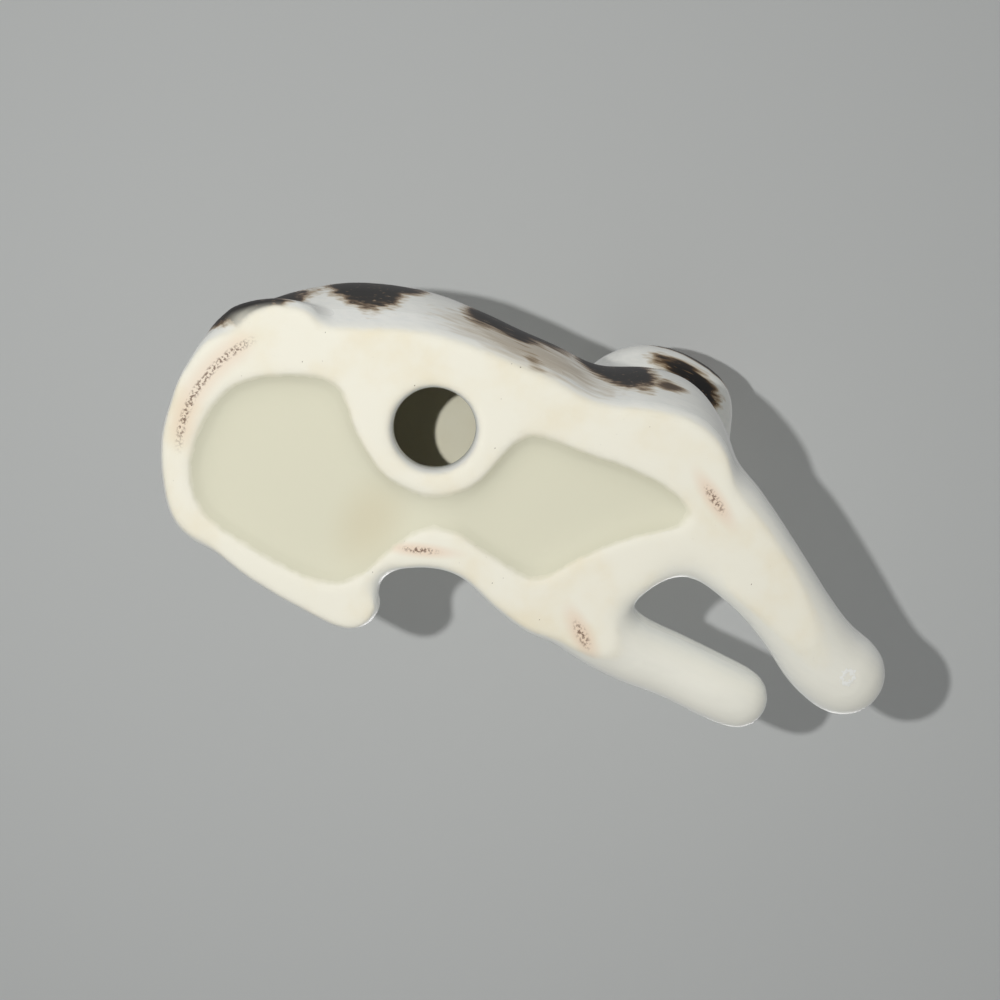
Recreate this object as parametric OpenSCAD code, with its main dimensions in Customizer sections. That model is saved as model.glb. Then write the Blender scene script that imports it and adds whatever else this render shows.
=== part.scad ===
// Porcelain cat figurine: a lying cat with stretched forelegs, slip-cast in pieces that are luted together.
// Millimetres. The cat faces -Y, its left is +X, and it stands on its foot plane at Z = 0.

/* [Torso] */
// Rear end of the torso, behind the origin
torso_rear = 82; // [78:1:86]
// Front of the breast, ahead of the origin
torso_front = 33; // [31:1:36]
// Reach of the haunch to the cat's left
haunch_left = 34.3; // [32:0.1:36]
// Reach of the haunch to the cat's right
haunch_right = 27; // [25:0.5:30]
// Reach of the waist to the cat's left
waist_left = 17; // [15:0.5:19]
// Reach of the waist to the cat's right
waist_right = 30; // [28:0.5:33]
// Reach of the shoulder to the cat's left
shoulder_left = 22.5; // [21:0.5:24]
// Reach of the shoulder to the cat's right
shoulder_right = 35; // [33:0.5:37]
// Height of the rump
rump_h = 47; // [44:1:50]
// Height of the back over the waist
back_h = 44; // [41:1:48]
// Height of the shoulders
shoulder_h = 46; // [44:1:50]
// Swelling of the haunches over the flank
haunch_rise = 3.6; // [2:0.1:5]
// Swelling of the shoulders over the flank
shoulder_rise = 2.2; // [1:0.1:3.5]
// Thickness of the cast wall
wall = 3.6; // [3:0.1:5]

/* [Foot] */
// Thickness of the footed base casting
foot_t = 6.5; // [5.5:0.5:8]
// Rounding of the foot's outer edge
foot_round = 1.2; // [0.6:0.1:1.8]
// Depth of the glazed recess in the underside
recess_depth = 3.2; // [2:0.1:4]
// Width of the land between the recess and the left edge
left_land = 4.4; // [3.5:0.1:6]
// Width of the land between the recess and the right edge
right_land = 15; // [12:0.5:16]
// Diameter of the vent hole
vent_d = 17; // [14:0.2:19]
// Width of the collar round the vent hole
vent_collar = 3.4; // [2.5:0.1:4.5]

/* [Head] */
// Width of the skull across the cheeks
head_w = 39; // [36:1:42]
// Length of the skull from nape to brow
head_l = 40; // [37:1:43]
// Height of the skull from throat to crown
head_h = 34; // [31:1:37]
// How far the muzzle stands out of the skull
muzzle_out = 4.5; // [3.5:0.5:6]
// Height of the skull's centre over the foot plane
head_z = 58; // [56:1:61]
// Turn of the face to the cat's left, in degrees
head_turn = 8; // [0:1:20]
// Diameter of the neck
neck_d = 30; // [27:1:32]

/* [Ears] */
// Height of the ear's tip over the skull's centre
ear_h = 26.5; // [24.5:0.5:28.5]
// Width of the ear at its root
ear_w = 20; // [18:0.5:22]
// Thickness of the ear's leaf
ear_t = 3.2; // [2.8:0.1:3.8]

/* [Forelegs] */
// Reach of the right forepaw ahead of the origin
right_reach = 82; // [78:1:86]
// Width of the right foreleg at the wrist
right_leg_d = 17; // [15.6:0.2:18.4]
// Width of the right forepaw
right_paw_d = 19; // [17.6:0.2:20.4]
// Reach of the left forepaw ahead of the origin
left_reach = 61.6; // [58:0.2:65]
// Width of the left foreleg at the wrist
left_leg_d = 14.4; // [13.2:0.2:15.4]
// Width of the left forepaw
left_paw_d = 14.2; // [13:0.2:15.4]

/* [Hind foot] */
// Width of the left hind foot
hind_foot_d = 14; // [13:0.5:15]
// How far the hind foot stands out of the haunch
hind_foot_out = 4.6; // [3.8:0.1:5.4]

/* [Tail] */
// Diameter of the tail at its root
tail_d = 11; // [10:0.5:12]
// Diameter of the tail near its tip
tail_tip_d = 8.5; // [8:0.5:9.5]

/* [Hidden] */
porcelain = "whitesmoke";
bisque = "cornsilk";
skirt = 4;          // every casting runs this far below the foot plane before it is rubbed flat
room = 400;         // side of the blocks that cut castings flat

// Vectors and smooth curves
function unit(v) = v / norm(v);
function mix(a, b, s) = a + (b - a) * s;
function mean(points) = [for (p = points) 1] * points / len(points);
function catmull(a, b, c, d, s) =
  (2 * b + (c - a) * s + (2 * a - 5 * b + 4 * c - d) * s * s + (3 * b - 3 * c + d - a) * s * s * s) / 2;
// Point at u, from 0 to len(rows) - 1, on the smooth curve through the rows
function along(rows, u) =
  let (last = len(rows) - 1, i = min(floor(u), last - 1),
       before = i > 0 ? rows[i - 1] : 2 * rows[0] - rows[1],
       after = i + 2 <= last ? rows[i + 2] : 2 * rows[last] - rows[last - 1])
  catmull(before, rows[i], rows[i + 1], after, u - i);
function resample(rows, n) = [for (k = [0:n]) along(rows, k * (len(rows) - 1) / n)];

// Closed skin over rings of equal length, with a fan at each end
module skin(rings) {
  n = len(rings[0]);
  m = len(rings);
  points = concat([for (r = rings) each r], [mean(rings[0]), mean(rings[m - 1])]);
  sides = [for (i = [0:m - 2], j = [0:n - 1]) let (a = i * n + j, b = i * n + (j + 1) % n)
    each [[a, b, b + n], [a, b + n, a + n]]];
  first = [for (j = [0:n - 1]) [m * n, (j + 1) % n, j]];
  final = [for (j = [0:n - 1]) [m * n + 1, (m - 1) * n + j, (m - 1) * n + (j + 1) % n]];
  polyhedron(points, concat(sides, first, final));
}

// Arched loft along Y. A row is [y, right edge, left edge, crown x, crown z].
// A fuller arch has a higher power, swell = [right, left] pushes the flanks out above the edge,
// and round draws the lowest edge in. A muscle is [side, y, z, rise, spread].
function muscle(list, side, y, z) =
  len(list) == 0 ? 0
  : [for (m = list) 1] * [for (m = list)
      m[0] != side ? 0 : m[3] * exp(-(pow(y - m[1], 2) + pow(z - m[2], 2)) / pow(m[4], 2))];
function arch_point(row, a, power, swell, muscles) =
  let (side = cos(a) < 0 ? -1 : 1, cx = row[3], z = row[4] * pow(sin(a), 2 / power),
       out = pow(abs(cos(a)), 2 / power) + swell[side < 0 ? 0 : 1] * abs(sin(2 * a)))
  [cx + ((side < 0 ? row[1] : row[2]) - cx) * out
     + side * sin(2 * min(a, 180 - a)) * muscle(muscles, side, row[0], z), row[0], z];
function arch_ring(row, low, power, swell, muscles, round, n) =
  let (y = row[0], r = min(round, row[4] / 8),
       edge = [[r, 0], [0.3 * r, 0.6 * r], [0, 1.6 * r]])
  concat(
    [[row[2] - r, y, -low], [row[1] + r, y, -low]],
    [for (e = edge) [row[1] + e[0], y, e[1]]],
    [for (k = [1:n - 1]) arch_point(row, 180 - 180 * k / n, power, swell, muscles)],
    [for (k = [2:-1:0]) [row[2] - edge[k][0], y, edge[k][1]]]);
module arch_loft(rows, low, power, swell, muscles, round, stations, n) {
  skin([for (row = resample(rows, stations)) arch_ring(row, low, power, swell, muscles, round, n)]);
}

// Round limb along a path. A row is [x, y, z, half width, half height].
// The tip is rounded off over its last half width.
function spot(row) = [row[0], row[1], row[2]];
function limb_ring(at, ahead, w, h, n) =
  let (s = unit(cross(ahead, [0, 0, 1])), v = cross(s, ahead))
  [for (j = [0:n - 1]) at + s * w * cos(360 * j / n) + v * h * sin(360 * j / n)];
module limb(rows, stations, n) {
  path = resample(rows, stations);
  way = [for (k = [0:stations])
    unit(spot(path[min(k + 1, stations)]) - spot(path[max(k - 1, 0)]))];
  tip = path[stations];
  ahead = way[stations];
  skin(concat(
    [for (k = [0:stations]) limb_ring(spot(path[k]), way[k], path[k][3], path[k][4], n)],
    [for (a = [25, 48, 68, 84])
      limb_ring(spot(tip) + ahead * tip[3] * sin(a), ahead, tip[3] * cos(a), tip[4] * cos(a), n)]));
}

// Everything over the height z
module over(z) { translate([-room / 2, -room / 2, z]) cube(room); }

// Torso stations from rear to front
end_half = 1.5;     // half width of the small flat where the loft closes
rear_x = 4.5;       // the rear end stands this far to the left
front_x = -14;      // the breast stands this far to the right
torso_rows = [
  [torso_rear, rear_x - end_half, rear_x + end_half, rear_x, 2],
  [torso_rear - 2, rear_x - 11, rear_x + 13.5, rear_x, 0.33 * rump_h],
  [torso_rear - 9, 15 - haunch_right, haunch_left - 4, 5, 0.65 * rump_h],
  [torso_rear - 16, 11 - haunch_right, haunch_left, 6, 0.82 * rump_h],
  [torso_rear - 26, 6 - haunch_right, haunch_left, 6, 0.94 * rump_h],
  [torso_rear - 40, -haunch_right, haunch_left - 0.5, 5, rump_h],
  [torso_rear - 51, 1 - waist_right, haunch_left - 5.4, 3, mix(rump_h, back_h, 0.3)],
  [torso_rear - 59, 0.5 - waist_right, waist_left + 3.5, 0.5, mix(rump_h, back_h, 0.7)],
  [13, -waist_right, waist_left, -2, back_h],
  [3, 0.5 - waist_right, mix(waist_left, shoulder_left, 0.55), -5, mix(back_h, shoulder_h, 0.3)],
  [-8, 1.5 - shoulder_right, shoulder_left - 0.5, -8, mix(back_h, shoulder_h, 0.8)],
  [-17, -shoulder_right, shoulder_left - 4, -11, shoulder_h],
  [8.5 - torso_front, 2.5 - shoulder_right, 5.5, -13, 0.84 * shoulder_h],
  [3 - torso_front, 8 - shoulder_right, -4, front_x, 0.55 * shoulder_h],
  [-torso_front, front_x - end_half, front_x + end_half, front_x, 2]
];
torso_power = 2.25;
torso_swell = [0.24, 0.16];
torso_muscles = [
  [-1, torso_rear - 23, 21, haunch_rise + 1, 17],
  [1, torso_rear - 36, 20, haunch_rise, 17],
  [-1, -6, 24, shoulder_rise, 13],
  [1, -6, 24, shoulder_rise, 13]
];
function inset(row, by, shift) = [row[0] + shift, row[1] + by, row[2] - by, row[3], row[4] - by];
module torso_skin() {
  arch_loft(torso_rows, skirt, torso_power, torso_swell, torso_muscles, foot_round, 46, 26);
}

// Head: its centre, its facing and the swellings of its skull as [direction, rise, spread].
// Those in the second list come in pairs.
head_x = -19.8;     // the head is carried this far to the right
head_y = -17.8;     // and this far ahead
middle_bumps = [
  [[0, -1, -0.42], muzzle_out, 0.034],
  [[0, -0.8, -0.8], 2.6, 0.02],
  [[0, -1, -0.02], 1.4, 0.01],
  [[0, -0.3, 1], -2.6, 0.2]
];
paired_bumps = [
  [[0.25, -1, -0.47], 1.5, 0.012],
  [[0.92, -0.45, -0.2], 1.8, 0.07],
  [[0.7, -0.5, -0.8], -2.4, 0.07],
  [[0.45, -0.88, 0.1], -2.2, 0.022],
  [[0.42, -0.7, 0.52], 1.2, 0.035]
];
skull_bumps = concat(middle_bumps,
  [for (b = paired_bumps, side = [-1, 1]) [[side * b[0][0], b[0][1], b[0][2]], b[1], b[2]]]);
function bumped(d) =
  [for (b = skull_bumps) 1] * [for (b = skull_bumps) b[1] * exp((d * unit(b[0]) - 1) / b[2])];
function skull_point(a, e) =
  let (d = [cos(e) * sin(a), -cos(e) * cos(a), sin(e)],
       r = 1 / norm([2 * d[0] / head_w, 2 * d[1] / head_l, 2 * d[2] / head_h]))
  d * (r + bumped(d));
module at_head() { translate([head_x, head_y, head_z]) rotate([0, 0, head_turn]) children(); }
// The points round the skull lie closer together on the face
module skull() {
  around = [for (k = [0:39]) let (s = 1 - k / 20) 180 * sign(s) * pow(abs(s), 1.35)];
  at_head() skin([for (e = [-84:7:84]) [for (a = around) skull_point(a, e)]]);
}
// Neck from inside the breast to inside the skull
neck_root = [-8, 4, 26];
neck_top = [head_x, head_y + 5, head_z - 3];
neck_way = neck_top - neck_root;
module neck() {
  side = unit(cross(neck_way, [1, 0, 0]));
  flat = unit(cross(side, neck_way));
  skin([for (s = [0:0.125:1]) [for (j = [0:23])
    neck_root + neck_way * s
      + neck_d / 2 * (1.4 - 0.4 * sin(90 * s)) * (flat * cos(15 * j) - side * sin(15 * j))]]);
}

module torso() {
  inner = [for (k = [1:13])
    inset(torso_rows[k], wall, k < 3 ? -wall : k > 11 ? wall : 0)];
  color(porcelain)
    difference() {
      intersection() { torso_skin(); over(foot_t); }
      arch_loft(inner, skirt, torso_power, torso_swell, [], 0.1, 28, 16);
    }
}

// Footed base: the lowest slice of the body, with its recess and vent
vent_x = -9.1;       // the vent lies this far to the right
vent_back = 51.5;    // and this far ahead of the rear end
vent_y = torso_rear - vent_back;
vent_round = 0.9;    // and its edge is broken by this much
recess_left = haunch_left - left_land;
recess_right = right_land - haunch_right;
by_vent = vent_x + vent_d / 2 + vent_collar;
front_right = right_land - shoulder_right;
front_left = mix(waist_left, shoulder_left, 0.55) - 2.1 * left_land;
recess_rows = [for (r = [
    [torso_rear - 8.3, 7.6, 13.6, 0.5],
    [torso_rear - 10, 1.6, recess_left - 9, 0.85],
    [torso_rear - 16, recess_right + 7.5, recess_left - 2, 1],
    [torso_rear - 29, recess_right + 2.4, recess_left + 0.4, 1],
    [torso_rear - 36, recess_right + 9, recess_left + 1, 1],
    [torso_rear - 44, by_vent, recess_left + 0.8, 1],
    [vent_y + 2, by_vent + 1.6, recess_left - 2, 0.9],
    [vent_y - 2, by_vent + 1.4, recess_left - 10, 0.75],
    [vent_y - 6.5, by_vent, waist_left - 5.3, 0.65],
    [vent_y - 13, by_vent - 6, waist_left - 8.3, 0.8],
    [13.3, front_right + 3.4, waist_left - 7.8, 1],
    [2.8, front_right + 2, front_left, 1],
    [-2.7, front_right + 1, front_left - 0.2, 1],
    [-8.2, front_right + 0.5, front_left - 8.4, 1],
    [-16.2, front_right + 0.5, front_left - 17.4, 1],
    [-23.2, front_right + 2, front_left - 23, 0.8],
    [-25.2, front_right + 3, front_left - 25, 0.5]])
  [r[0], r[1], r[2], (r[1] + r[2]) / 2, recess_depth * r[3]]];
module footed_base() {
  color(bisque)
    difference() {
      intersection() {
        torso_skin();
        translate([-room / 2, -room / 2, 0]) cube([room, room, foot_t]);
      }
      arch_loft(recess_rows, skirt, 5, [0, 0], [], 0.1, 48, 14);
      translate([vent_x, vent_y, -1]) cylinder(h = foot_t + 2, d = vent_d, $fn = 64);
      translate([vent_x, vent_y, -vent_round])
        cylinder(h = 2 * vent_round, d1 = vent_d + 4 * vent_round, d2 = vent_d, $fn = 64);
    }
}

module head() {
  color(porcelain)
    difference() {
      union() {
        skull();
        neck();
      }
      torso_skin();
    }
}

// Ears: an arched leaf with a rounded rim, open to the front and a little outwards, on the skull
ear_root = [0.25 * head_w, 1, 0.2 * head_h];
ear_tip = [0.37 * head_w, 2, ear_h];
ear_facing = 0.55;
module ear(side) {
  root = [side * ear_root[0], ear_root[1], ear_root[2]];
  way = [side * ear_tip[0], ear_tip[1], ear_tip[2]] - root;
  across = unit(cross(way, [-side * ear_facing, 1, 0]));
  back = cross(across, unit(way));
  m = 8;
  bend = [45, 90, 135];
  rings = [for (s = [0, 0.2, 0.4, 0.55, 0.7, 0.82, 0.91, 0.97, 1])
    let (r = ear_t / 2 * (1 - 0.25 * s) * sqrt(1.06 - pow(s, 12)),
         w = max(0.2, ear_w / 2 * pow(1.02 - s, 0.78) - r),
         c = root + way * s, bow = w * min(1, 2.5 * s))
    concat(
      [for (j = [0:m]) let (q = 1 - 2 * j / m)
        c + across * q * w + back * (0.55 * bow * (1 - q * q) + r)],
      [for (b = bend) c - across * (w + r * sin(b)) + back * r * cos(b)],
      [for (j = [0:m]) let (q = 2 * j / m - 1)
        c + across * q * w + back * (0.4 * bow * (1 - q * q) - r)],
      [for (b = bend) c + across * (w + r * sin(b)) - back * r * cos(b)])];
  color(porcelain)
    difference() {
      at_head() skin(rings);
      skull();
    }
}
module left_ear() { ear(1); }
module right_ear() { ear(-1); }

// Limbs and tail, each let into the body and rubbed flat with the foot
module let_in() {
  color(porcelain)
    intersection() {
      difference() {
        children();
        torso_skin();
      }
      over(0);
    }
}
right_paw = right_paw_d / 2;
right_leg = right_leg_d / 2;
right_end = right_paw - right_reach;
right_rows = [
  [-18, -12, 9, right_leg + 4, 12],
  [-17.4, -25, 9, right_leg + 4.4, 12.5],
  [-13.4, -37, 7.4, right_leg + 3, 10.2],
  [-9.4, -47.5, 7.2, right_leg + 1, right_leg + 0.6],
  [-3.8, mix(-47.5, right_end, 0.42), 8, right_leg + 0.3, right_leg],
  [0.7, mix(-47.5, right_end, 0.75), 9.2, right_paw - 0.2, right_leg],
  [2.5, right_end, 10, right_paw, right_paw - 0.9]
];
module right_foreleg() { let_in() limb(right_rows, 20, 20); }
left_paw = left_paw_d / 2;
left_leg = left_leg_d / 2;
left_end = left_paw - left_reach;
left_rows = [
  [9.6, -2, 9, left_leg + 1, 13],
  [14.8, -15, 9.2, left_leg + 1.4, 12.5],
  [17.3, -27, 9.4, left_leg + 0.4, 8.4],
  [17.2, mix(-27, left_end, 0.4), 10.2, left_leg, left_leg],
  [17.5, mix(-27, left_end, 0.8), 10.4, left_leg, left_leg],
  [17.5, left_end, 10.4, left_paw, left_paw - 0.4]
];
module left_foreleg() { let_in() limb(left_rows, 18, 20); }
hind_foot = hind_foot_d / 2;
hind_foot_h = hind_foot + 1.2;
hind_x = haunch_left + hind_foot_out - hind_foot;
hind_rows = [
  [hind_x - 6, torso_rear - 16, 4, hind_foot - 1, hind_foot_h],
  [hind_x - 2.4, torso_rear - 27, 4, hind_foot, hind_foot_h],
  [hind_x - 0.8, torso_rear - 38, 4, hind_foot, hind_foot_h],
  [hind_x, torso_rear - 51.2, 4, hind_foot, hind_foot_h]
];
module left_hind_foot() { let_in() limb(hind_rows, 12, 20); }
tail_r = tail_d / 2;
tail_tip_r = tail_tip_d / 2;
tail_mid_r = mix(tail_r, tail_tip_r, 0.5);
tail_rows = [
  [12, torso_rear - 16, 27, tail_r, tail_r],
  [3, torso_rear - 6.5, 18, tail_r, tail_r],
  [-8, torso_rear - 7, 8.5, tail_r, tail_r],
  [12.6 - haunch_right, torso_rear - 12.5, 4, tail_mid_r, tail_r + 0.5],
  [10 - haunch_right, torso_rear - 18, 3.6, tail_tip_r, tail_r]
];
module tail() { let_in() limb(tail_rows, 20, 18); }

torso();
footed_base();
head();
left_ear();
right_ear();
left_foreleg();
right_foreleg();
left_hind_foot();
tail();
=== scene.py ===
"""A porcelain cat figurine: slip-joined castings under painted glaze, on an unglazed foot."""

import math

import bmesh
import bpy
import numpy as np
from mathutils import Matrix, Vector
from mathutils.bvhtree import BVHTree


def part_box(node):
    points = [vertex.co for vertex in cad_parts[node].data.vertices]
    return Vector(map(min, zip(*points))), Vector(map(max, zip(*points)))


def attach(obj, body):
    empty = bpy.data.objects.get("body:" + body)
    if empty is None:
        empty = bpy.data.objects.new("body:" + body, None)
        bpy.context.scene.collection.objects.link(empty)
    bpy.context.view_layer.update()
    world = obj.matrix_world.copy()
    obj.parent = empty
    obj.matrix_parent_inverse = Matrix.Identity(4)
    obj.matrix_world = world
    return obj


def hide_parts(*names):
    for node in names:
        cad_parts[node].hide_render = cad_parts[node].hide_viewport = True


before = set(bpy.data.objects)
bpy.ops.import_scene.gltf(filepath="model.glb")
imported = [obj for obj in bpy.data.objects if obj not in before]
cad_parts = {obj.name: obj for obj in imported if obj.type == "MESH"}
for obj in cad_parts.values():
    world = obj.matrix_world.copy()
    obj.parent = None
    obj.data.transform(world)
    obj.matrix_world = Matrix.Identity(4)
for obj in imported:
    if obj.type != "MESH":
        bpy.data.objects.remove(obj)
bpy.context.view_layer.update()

MM = 0.001
GRAIN = 0.66 * MM            # side of the small squares that the joined skin is made of
MERGE = 0.002 * MM           # points of one casting that are closer than this are one point
FAR = 1.0                    # joint value of points that lie nowhere near a joint
PARTING = 7.4 * MM           # height of the seam between the footed base and the torso
GROUNDED = 0.03 * MM         # points below this lie on the foot plane
SPONGED = 2.0 * MM           # below this height the foot's edges are sponged round
IN_RECESS = Vector((10, 50, 3.2)) * MM       # a place in the recess under the foot
IN_HOLLOW = Vector((-1, 29, 41.5)) * MM      # a place in the torso's hollow

# Each luted casting, what carries it, and how far the slip fillet reaches from its joint
JOINTS = {
    "head": (("torso",), 6.0 * MM),
    "left_ear": (("head",), 2.4 * MM),
    "right_ear": (("head",), 2.4 * MM),
    "left_foreleg": (("torso", "footed_base"), 5.0 * MM),
    "right_foreleg": (("torso", "footed_base"), 5.0 * MM),
    "left_hind_foot": (("torso", "footed_base"), 3.0 * MM),
    "tail": (("torso", "footed_base"), 1.8 * MM),
}
EARS = ("left_ear", "right_ear")
CASTINGS = ["torso", "footed_base", *JOINTS]

# How far a point moves towards its neighbours each time the slip runs, and how often it runs where
FLOW = 0.5
FACET_RUNS = 7
BODY_RUNS = 20
JOINT_RUNS = 50
POOL_RUNS = 200
HOLLOW_RUNS = 60
FOOT_RUNS = 10
DETAIL_RUNS = 4              # before the details are modelled into the skin
FINISH_RUNS = 1              # after it

FILLET_FADE = 1.2            # how many of its reaches from a joint a fillet has faded out
POOL_FADE = 1.4              # how steeply the running fades out towards the edge of a pool

# The round of the web between the forelegs: where its axis stands, its radius and its height, in millimetres
WEB = (5.7, -32.0, 8.0, 16.0)

# Narrow places where the slip pools: middle and reach, in millimetres
SLIP_POOLS = [((-3.0, -30.0, 6.0), 13.0), ((7.0, -23.0, 4.0), 7.0), ((25.0, 25.0, 3.0), 6.0)]

# Where the head is carried, and how far the face is turned to the cat's left
HEAD_CENTRE = Vector((-19.8, -17.8, 58.0))
HEAD_TURN = 8.0
HEAD_MATRIX = Matrix.Translation(HEAD_CENTRE) @ Matrix.Rotation(math.radians(HEAD_TURN), 4, "Z")

# The part of the head that is modelled as a face, in millimetres from the head's centre
FACE_BACK = -6
FACE_FULL = -9
FACE_HALF = 17
FACE_LOW = -15
FACE_HIGH = 12

# Features of the face: across, up and half sizes or radius, in millimetres from the head's centre
EYE = (8.1, 1.9, 3.7, 2.6)
EYE_SLANT = 12.0
NOSE = (-4.3, 2.3, 1.5)      # in the middle, so without a place across
NOSTRIL = (1.2, -5.2)
WHISKER_PAD = (3.4, -7.4, 2.4)
MOUTH = (2.5, -6.7, 2.5)
LIP_SEAM = (-5.2, -5.8)      # where the seam over the mouth starts, and where it is full

# How far each feature stands out or is sunk, in millimetres
RELIEF = {
    "eyeball": 1.5, "lid": 0.8, "lid_crease": 0.4, "nose": 1.0, "nostril": 0.5, "whisker_pad": 0.7,
    "mouth": 0.6, "lip_seam": 0.45, "toe_gap": 0.85,
}

# Paws: the middle of the end, its facing and its half width, in millimetres
PAWS = [
    (Vector((2.5, -72.5, 10)), Vector((0.28, -0.96, 0)), 9.5),
    (Vector((17.5, -54.5, 10.4)), Vector((0.02, -1, 0)), 7.1),
    (Vector((31.9, 30.8, 5)), Vector((0.05, -1, 0)), 7.0),
]
# What is modelled on a paw, in its half widths: how far it reaches, and the gaps between the toes
PAW_REACH = 1.35
TOE_GAPS = (-0.5, 0.0, 0.5)
TOE_GAP_WIDTH = 0.09

CUT_MARGIN = 0.15                # share of an edge that a cut leaves at either end
LID_RINGS = (0.7, 0.4, 0.1)      # what each ring of a joint's lid keeps of the one before


# Mesh helpers

def merged_copy(name):
    """A packed casting with its loose triangles joined."""
    casting = bmesh.new()
    casting.from_mesh(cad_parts[name].data)
    bmesh.ops.remove_doubles(casting, verts=casting.verts, dist=MERGE)
    return casting


def placed(name, shape):
    """An object at the origin that holds the shape."""
    mesh = bpy.data.meshes.new(name)
    shape.to_mesh(mesh)
    piece = bpy.data.objects.new(name, mesh)
    bpy.context.scene.collection.objects.link(piece)
    return piece


def soften(points, links, share, passes):
    """Lets the slip run: in each pass a point moves its share of the way to the middle of its neighbours."""
    a, b = links.T
    count = len(points)
    neighbours = np.bincount(a, minlength=count) + np.bincount(b, minlength=count)
    for _ in range(passes):
        for k in range(3):
            row = points[:, k]
            middle = np.bincount(a, row[b], count) + np.bincount(b, row[a], count)
            points[:, k] += (middle / neighbours - row) * share[:, k]


def smooth_step(low, high, value):
    """From 0 at low to 1 at high, with level ends."""
    share = min(1.0, max(0.0, (value - low) / (high - low)))
    return share * share * (3 - 2 * share)


def hill(distance, width):
    """1 at no distance, falling off smoothly over the width."""
    return math.exp(-(distance / width) ** 2)


def flooded(points, links, place, inside):
    """Which points can be reached from the one nearest to a place, over points that lie inside."""
    a, b = links.T
    found = np.zeros(len(points), bool)
    found[((points - place) ** 2).sum(1).argmin()] = True
    while True:
        next_to = np.concatenate([b[found[a]], a[found[b]]])
        next_to = next_to[inside[next_to] & ~found[next_to]]
        if not len(next_to):
            return found
        found[next_to] = True


# The joined skin

def slip_joined():
    """All castings as one skin of small even squares."""
    joined = bmesh.new()
    for name in CASTINGS:
        casting = merged_copy(name)
        mesh = bpy.data.meshes.new(name)
        casting.to_mesh(mesh)
        casting.free()
        joined.from_mesh(mesh)
        bpy.data.meshes.remove(mesh)
    piece = placed("slip_joined", joined)
    joined.free()
    remesh = piece.modifiers.new("slip", "REMESH")
    remesh.mode = "VOXEL"
    remesh.voxel_size = GRAIN
    evaluated = piece.evaluated_get(bpy.context.evaluated_depsgraph_get())
    mesh = bpy.data.meshes.new_from_object(evaluated)
    bpy.data.objects.remove(piece)
    return mesh


def joint_values(points):
    """For each joint every point's value, which is below zero on the casting and above it on its carrier,
    and its distance from the joint."""
    trees = {}
    for name in CASTINGS:
        casting = merged_copy(name)
        trees[name] = BVHTree.FromBMesh(casting)
        casting.free()
    joints = {}
    for name, (carriers, reach) in JOINTS.items():
        low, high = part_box(name)
        value = np.full(len(points), FAR)
        gap = np.full(len(points), FAR)
        close = (points > np.array(low) - 2 * reach).all(1) & (points < np.array(high) + 2 * reach).all(1)
        for number in np.flatnonzero(close):
            own = trees[name].find_nearest(points[number])[3]
            other = min(trees[carrier].find_nearest(points[number])[3] for carrier in carriers)
            value[number] = own - other
            gap[number] = max(own, other)
        joints[name] = value, gap
    return joints


def fillets(joints):
    """How freely the slip runs near the joints."""
    return np.maximum.reduce([
        np.clip(FILLET_FADE - gap / JOINTS[name][1], 0, 1) for name, (_, gap) in joints.items()])


def pools(points):
    """How freely the slip runs in the narrow places."""
    shares = []
    for middle, reach in SLIP_POOLS:
        away = np.linalg.norm(points - np.array(middle) * MM, axis=1) / (reach * MM)
        shares.append(np.clip(POOL_FADE - POOL_FADE * away, 0, 1))
    return np.maximum.reduce(shares)


def round_web(points, joints):
    """Pushes the body's skin between the forelegs out to a round."""
    x, y, radius, height = (size * MM for size in WEB)
    away = points[:, :2] - (x, y)
    far = np.linalg.norm(away, axis=1)
    on_body = (joints["left_foreleg"][0] > 0) & (joints["right_foreleg"][0] > 0)
    web = on_body & (points[:, 2] < height) & (far < radius)
    points[web, :2] += away[web] * (radius / far[web] - 1)[:, None]


def run_slip(points, links, joints):
    """Smooths the facets away, and fills the joints with a fillet that fades out. Says which points lie in
    the recess under the foot."""
    grounded = points[:, 2] < GROUNDED

    def run(freely, passes, level=True):
        """Runs the slip where it can run freely. Kept level, points on the foot plane stay on it."""
        rise = np.where(grounded, 0.0, freely) if level else freely
        soften(points, links, FLOW * np.stack([freely, freely, rise], 1), passes)

    head = np.minimum.reduce([joints[name][0] for name in ("head", *EARS)]) < 0
    run(np.ones(len(points)), FACET_RUNS)
    run(~head, BODY_RUNS)
    run(fillets(joints), JOINT_RUNS)
    round_web(points, joints)
    run(pools(points), POOL_RUNS, level=False)
    recess = flooded(points, links, IN_RECESS, ~grounded)
    hollow = flooded(points, links, IN_HOLLOW, points[:, 2] > PARTING + MM)
    run(recess | hollow, HOLLOW_RUNS)
    run(points[:, 2] < SPONGED, FOOT_RUNS, level=False)
    return recess


def joined_skin():
    """The joined and smoothed skin, with the joint values and the recess in its layers."""
    mesh = slip_joined()
    points = np.empty(3 * len(mesh.vertices), np.float32)
    mesh.vertices.foreach_get("co", points)
    points = points.reshape(-1, 3).astype(float)
    links = np.empty(2 * len(mesh.edges), np.int32)
    mesh.edges.foreach_get("vertices", links)
    links = links.reshape(-1, 2)
    joints = joint_values(points)
    recess = run_slip(points, links, joints)
    mesh.vertices.foreach_set("co", points.astype(np.float32).ravel())
    for name, (value, _) in joints.items():
        mesh.attributes.new(name, "FLOAT", "POINT").data.foreach_set("value", value.astype(np.float32))
    mesh.attributes.new("recess", "FLOAT", "POINT").data.foreach_set("value", recess.astype(np.float32))
    mesh.attributes.new("slip_normal", "FLOAT_VECTOR", "POINT")
    mesh.attributes.new("casting", "INT", "FACE")
    mesh.attributes.new("hidden", "INT", "FACE")
    skin = bmesh.new()
    skin.from_mesh(mesh)
    bpy.data.meshes.remove(mesh)
    return skin


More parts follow.
